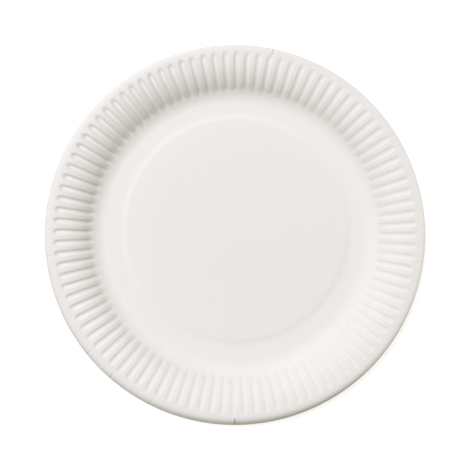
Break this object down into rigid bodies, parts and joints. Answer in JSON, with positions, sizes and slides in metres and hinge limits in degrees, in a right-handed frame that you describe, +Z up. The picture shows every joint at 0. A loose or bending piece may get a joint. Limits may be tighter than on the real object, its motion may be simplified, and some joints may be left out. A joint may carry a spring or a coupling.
{
  "type": "paper plate",
  "caption": "Round white paper plate with a flat well, a raised centre panel, a fluted brow and a smooth rolled-down lip.",
  "frame": {"origin": "middle of the underside, on the surface that the plate rests on", "axes": "+Z up out of the eating side, +X to the right and +Y to the top of the picture, which looks straight down"},
  "size_m": [0.23, 0.23, 0.0159],
  "materials": {
    "paperboard": "matt uncoated white paperboard"
  },
  "bodies": {
    "root": {"plate": "paperboard"}
  },
  "joints": []
}
